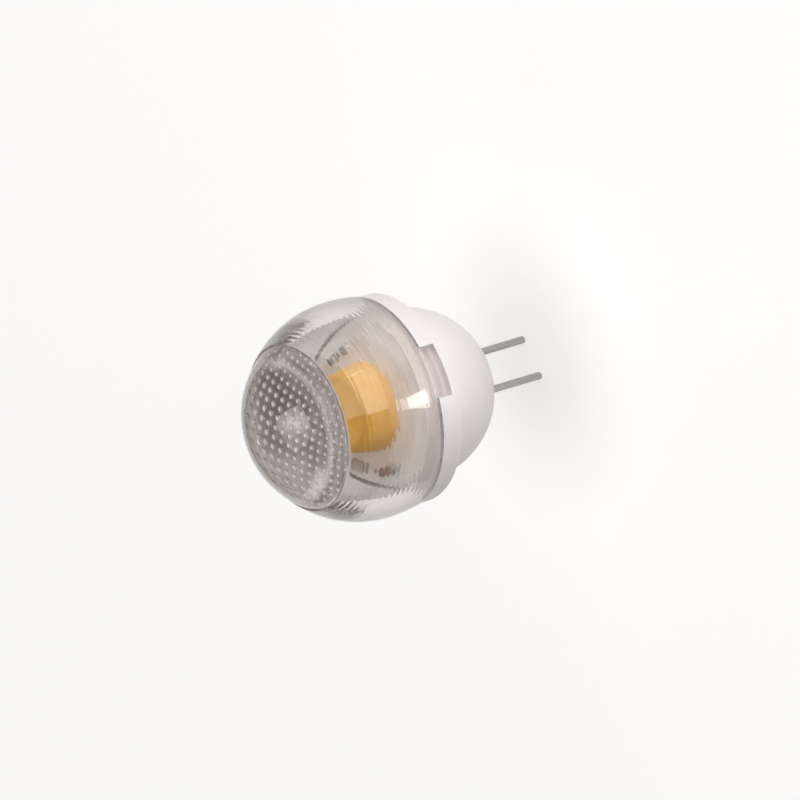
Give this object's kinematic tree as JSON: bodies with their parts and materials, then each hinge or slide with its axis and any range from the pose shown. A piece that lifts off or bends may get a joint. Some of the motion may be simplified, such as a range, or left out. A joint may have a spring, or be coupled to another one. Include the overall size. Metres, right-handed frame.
{
  "type": "bi-pin led bulb",
  "caption": "Small low-voltage LED lamp: white round-backed base on a pair of wire pins, with a clear clip-on dome whose front is a dotted lens over a yellow emitter.",
  "frame": {"origin": "centre of the flat land at the back of the base, midway between the contact pins", "axes": "+Z along the lamp's axis towards the lens, +X along the row of pins"},
  "size_m": [0.022, 0.022, 0.0331],
  "materials": {
    "white_plastic": "moulded white plastic, satin gloss",
    "clear_plastic": "clear moulded plastic, polished",
    "pin_metal": "drawn wire, satin",
    "white_board": "white solder mask",
    "green_board": "green solder mask",
    "phosphor": "yellow phosphor silicone",
    "die": "polished chip",
    "solder": "bright solder",
    "lead_metal": "tinned leads",
    "black_epoxy": "moulded epoxy, matt",
    "tan_ceramic": "sintered ceramic",
    "pale_ceramic": "fired alumina, pale",
    "can_metal": "drawn can",
    "ferrite": "sintered ferrite, matt",
    "copper_wire": "enamelled copper winding",
    "wire_insulation": "white wire insulation"
  },
  "bodies": {
    "root": {"base_housing": "white_plastic", "dome_lens": "clear_plastic", "left_contact_pin": "pin_metal", "right_contact_pin": "pin_metal", "driver_board": "green_board", "pin_solder_joints": "solder", "led_board": "white_board", "led_chips": "die", "phosphor_cap": "phosphor", "board_capacitor": "tan_ceramic", "board_capacitor_terminals": "lead_metal", "board_resistor": "pale_ceramic", "board_resistor_terminals": "lead_metal", "bridge_rectifier": "black_epoxy", "bridge_rectifier_leads": "lead_metal", "driver_ic": "black_epoxy", "driver_ic_leads": "lead_metal", "freewheel_diode": "black_epoxy", "freewheel_diode_leads": "lead_metal", "sense_resistor": "black_epoxy", "smoothing_capacitor": "can_metal", "inductor_core": "ferrite", "inductor_winding": "copper_wire", "supply_lead_wire": "wire_insulation", "return_lead_wire": "wire_insulation", "wire_foot_joints": "solder", "lead_solder_joints": "solder"}
  },
  "joints": []
}
